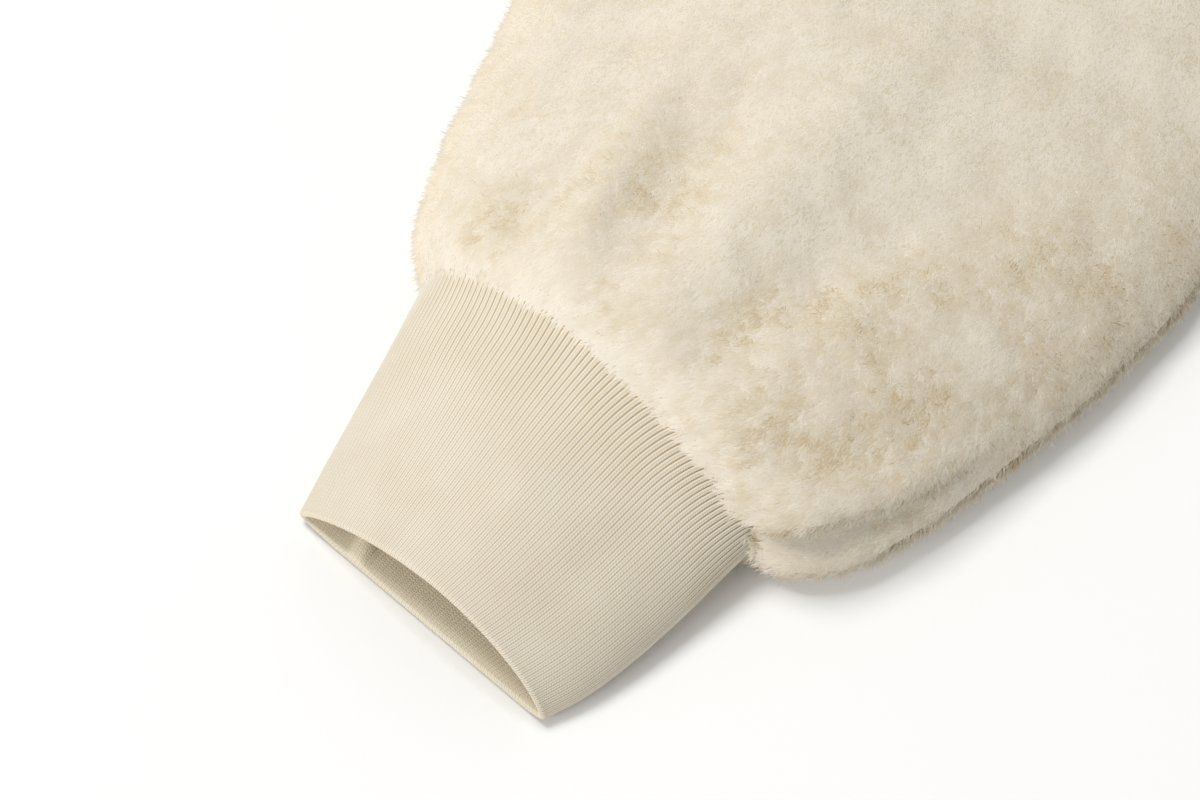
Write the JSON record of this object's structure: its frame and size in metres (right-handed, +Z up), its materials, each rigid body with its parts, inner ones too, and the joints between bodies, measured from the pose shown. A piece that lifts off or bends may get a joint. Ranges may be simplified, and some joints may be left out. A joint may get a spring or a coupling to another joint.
{
  "type": "plush pullover",
  "caption": "Oversized cream plush pullover laid flat, front up, with full sleeves gathered into rib-knit cuffs, a rib neckband and a rib hem band.",
  "frame": {"origin": "on the floor, under the middle of the laid-out garment", "axes": "+X towards the wearer's left sleeve, +Y towards the neck, +Z up off the floor"},
  "size_m": [1.2176, 0.675, 0.0643],
  "materials": {
    "plush": "soft cream faux-shearling pile about 8 mm deep, matt with a light sheen on its tips",
    "rib_knit": "soft cream one by one rib knit, matt"
  },
  "bodies": {
    "root": {"front": "plush", "back": "plush", "sleeve_right": "plush", "sleeve_left": "plush", "cuff_right": "rib_knit", "cuff_left": "rib_knit", "neckband": "rib_knit", "hem_band": "rib_knit"}
  },
  "joints": []
}
